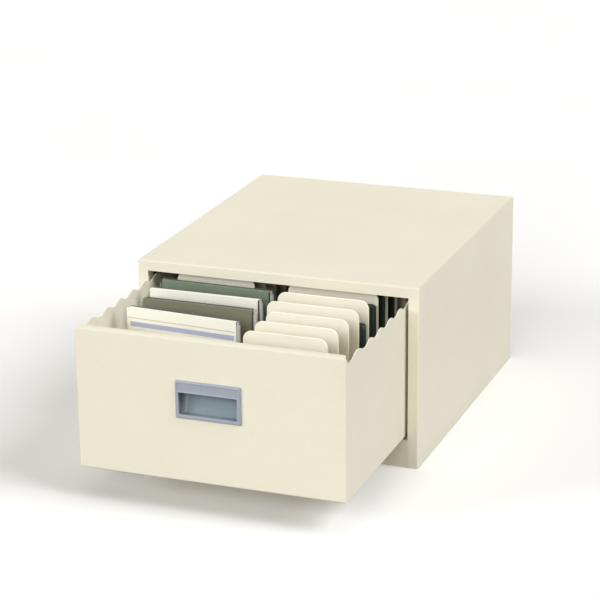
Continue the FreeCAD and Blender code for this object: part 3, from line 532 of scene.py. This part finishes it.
def disc_case(k, slot, front_mat, ym, xm, deg):
    """A hinged clear case standing on its side: lid with end walls, base, tray, booklet and folded inlay.
    Local x runs along the width, y from the front to the rear, z up."""
    mv = Matrix.Translation((xm, FRONT + ym, FLOOR_TOP)) @ Matrix.Rotation(math.radians(deg), 4, "Z") @ Matrix.Translation((-62.5, -10.4, 0))
    node = "media_case_%d" % k
    mat = mats[slot]
    e = 0.08
    bm = bmesh.new()  # lid
    brick(bm, (e, e, 0.3), (125 - e, 1.2, 141.7), mv)
    finish_mesh("case_%d_lid" % k, bm, shell_mat, "drawer", [node], bevel=0.35, segments=2)
    bm = bmesh.new()  # the lid's end walls, and the base's end ribs inside them
    brick(bm, (e, 1.25, 5.0), (1.2, 8.9, 137.0), mv)
    brick(bm, (125 - 1.2, 1.25, 5.0), (125 - e, 8.9, 137.0), mv)
    for x in (1.5, 122.5):
        brick(bm, (x, 4.4, 1.3), (x + 0.9, 9.2, 140.7), mv)
    finish_mesh("case_%d_ends" % k, bm, end_mat, "drawer", (), bevel=0.3, segments=2)
    bm = bmesh.new()  # base, with its two spine walls
    brick(bm, (0.4, 9.35, 0.1), (124.6, 10.4 - e, 141.9), mv)
    brick(bm, (1.6, 1.5, 0.1), (123.4, 9.3, 1.1), mv)
    brick(bm, (1.6, 1.5, 140.95), (123.4, 9.3, 141.9), mv)
    finish_mesh("case_%d_base" % k, bm, shell_mat, "drawer", (), bevel=0.3, segments=2)
    bm = bmesh.new()  # tray between them
    brick(bm, (3.6, 3.0, 1.9), (121.4, 8.3, 140.0), mv)
    finish_mesh("case_%d_tray" % k, bm, tray_mat, "drawer", (), bevel=0.8, segments=3)
    bm = bmesh.new()  # the tray's upper rear lip, level with the inlay's spine
    brick(bm, (3.2, 7.3, 138.5), (121.8, 9.25, 140.9), mv)
    finish_mesh("case_%d_tray_lip" % k, bm, tray_mat, "drawer", (), bevel=0.15, segments=2)
    bm = bmesh.new()  # inlay, folded round the tray, and its two spines
    brick(bm, (2.7, 8.45, 1.25), (122.3, 9.15, 138.3), mv)
    brick(bm, (3.0, 1.9, 140.15), (122.0, 7.2, 140.75), mv)
    brick(bm, (3.0, 1.9, 1.25), (122.0, 8.45, 1.75), mv)
    finish_mesh("case_%d_inlay" % k, bm, mat, "drawer", (), bevel=0.15, segments=2)
    bm = bmesh.new()  # booklet behind the lid
    rim = 1.4 if front_mat else 3.0
    brick(bm, (rim, 1.35, 2.2), (125 - rim, 1.75, 141.3), mv)
    finish_mesh("case_%d_booklet" % k, bm, front_mat or mat, "drawer", (), bevel=0.12, segments=2)


for k, (slot, front_mat, ym, xm, deg) in enumerate(CASES):
    disc_case(k + 1, slot, front_mat, ym, xm, deg)


# ------------------------------------------------------------------ dark wallets as painted shade
def shade_wallets(k):
    """A few soft-edged dark wallets standing against the divider behind them, as painted shade: dark sheets in rear
    pockets that lie in deep shade.
    """
    node = "media_sleeve_%d" % k
    lo, hi = (v * 1000 for v in map(Vector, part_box(node)))
    bm = bmesh.new()
    y = lo.y + 0.15
    for i, thick in enumerate((1.9, 1.7, 2.0, 1.6)):
        dx, drop = rnd.uniform(0, 0.9), (0.0, 1.2, 0.5, 1.8)[(i + k) % 4]
        n, rows = 5, 8
        loops = []
        for j in range(rows + 1):  # crowned: thin at its rim, full in the middle
            q = math.pi * j / rows
            s = 0.9 * (1 - math.sin(q)) if j in (0, rows) else 0.9 * (1 - math.sin(q)) ** 1.5
            loops.append(rrect(lo.x + dx + s, hi.x - 0.9 + dx - s, lo.z + s * 0.2, hi.z - drop - s, 3.0, y + thick * (1 - math.cos(q)) / 2, n))
        loft(bm, loops)
        y += thick + 0.12
    finish_mesh("wallets_%d" % k, bm, mats["dark_sleeve"], "drawer", [node], smooth=50)


for k in (1, 2, 3, 4):
    shade_wallets(k)

# ------------------------------------------------------------------ stage and light
bm = bmesh.new()
bmesh.ops.create_grid(bm, x_segments=1, y_segments=1, size=9.0)
me = bpy.data.meshes.new("studio_floor")
bm.to_mesh(me)
bm.free()
ground = bpy.data.objects.new("studio_floor", me)
ground.location = (0, 0, -0.0004)
ground.visible_diffuse = False  # the floor throws no light up; the sky colour stands in for it
bpy.context.scene.collection.objects.link(ground)
g = Tree("studio_floor")
g.link(g.mix(g.ranged(g.noise(1.5, 2.0), 0.3, 0.7, 0, 1), (0.965, 0.965, 0.962), (0.98, 0.98, 0.978)), g.p.inputs["Base Color"])
g.set(Roughness=0.9)
me.materials.append(g.m)

world = bpy.data.worlds.new("studio")
world.use_nodes = True
bg = world.node_tree.nodes["Background"]
bg.inputs[0].default_value = (1.0, 0.93, 0.80, 1)
bg.inputs[1].default_value = 0.27
wt = world.node_tree
sky = wt.nodes.new("ShaderNodeBackground")  # what the camera sees beyond the floor's far edge
sky.inputs[0].default_value = (1.0, 1.0, 1.0, 1)
sky.inputs[1].default_value = 1.0
ray = wt.nodes.new("ShaderNodeLightPath")
both = wt.nodes.new("ShaderNodeMixShader")
wt.links.new(ray.outputs["Is Camera Ray"], both.inputs[0])
wt.links.new(bg.outputs[0], both.inputs[1])
wt.links.new(sky.outputs[0], both.inputs[2])
wt.links.new(both.outputs[0], wt.nodes["World Output"].inputs[0])
bpy.context.scene.view_settings.view_transform = "Standard"
bpy.context.scene.world = world


def lamp(name, towards, strength, spread, colour=(1, 1, 1)):
    """A distant softbox: the direction that its light comes from, and how wide it is in degrees."""
    d = bpy.data.lights.new(name, "SUN")
    d.energy, d.angle, d.color = strength, math.radians(spread), colour
    ob = bpy.data.objects.new(name, d)
    bpy.context.scene.collection.objects.link(ob)
    ob.matrix_world = Vector(towards).to_track_quat("Z", "Y").to_matrix().to_4x4()
    ob.location = Vector(towards) * 3


lamp("left", (-0.72, -0.62, 0.38), 1.30, 22, (0.985, 1.0, 1.02))
lamp("front", (0.0, -0.93, 0.36), 1.27, 30, (0.985, 1.0, 1.02))
lamp("right", (0.76, -0.06, 0.64), 2.15, 36, (0.985, 1.0, 1.03))
lamp("top", (0.0, 0.0, 1.0), 0.24, 40, (0.985, 1.0, 1.02))
